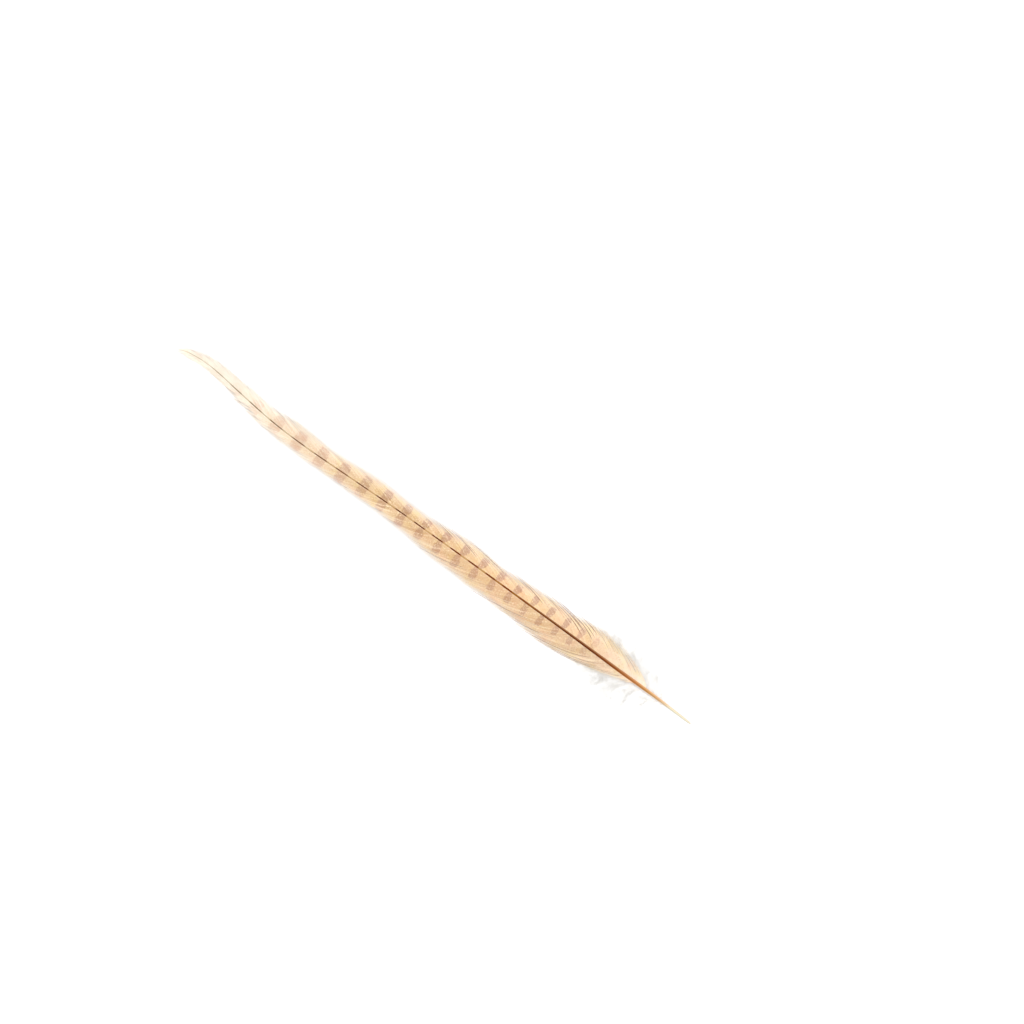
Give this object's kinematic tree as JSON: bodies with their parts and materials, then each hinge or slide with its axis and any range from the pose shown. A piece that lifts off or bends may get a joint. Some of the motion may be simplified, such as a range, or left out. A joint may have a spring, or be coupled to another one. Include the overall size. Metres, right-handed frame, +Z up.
{
  "type": "pheasant tail feather",
  "caption": "Long narrow barred tail feather with a slender shaft, a pointed hooked tip and pale down at its foot, lying flat.",
  "frame": {"origin": "middle of the underside of the feather's box, on the surface that it lies on", "axes": "+X from the quill end to the tip, +Y towards the left vane, +Z up, out of the feather's upper side"},
  "size_m": [0.45, 0.0374, 0.0062],
  "materials": {
    "shaft_horn": "smooth horn, dark brown along the vanes and pale cream at the bare quill",
    "vane_barbs": "soft peach-tan barbs with a dull silky sheen, crossed by pinkish brown bars",
    "down": "loose matt fluff, nearly white"
  },
  "bodies": {
    "root": {"shaft": "shaft_horn", "left_vane": "vane_barbs", "right_vane": "vane_barbs", "left_down": "down", "right_down": "down"}
  },
  "joints": []
}
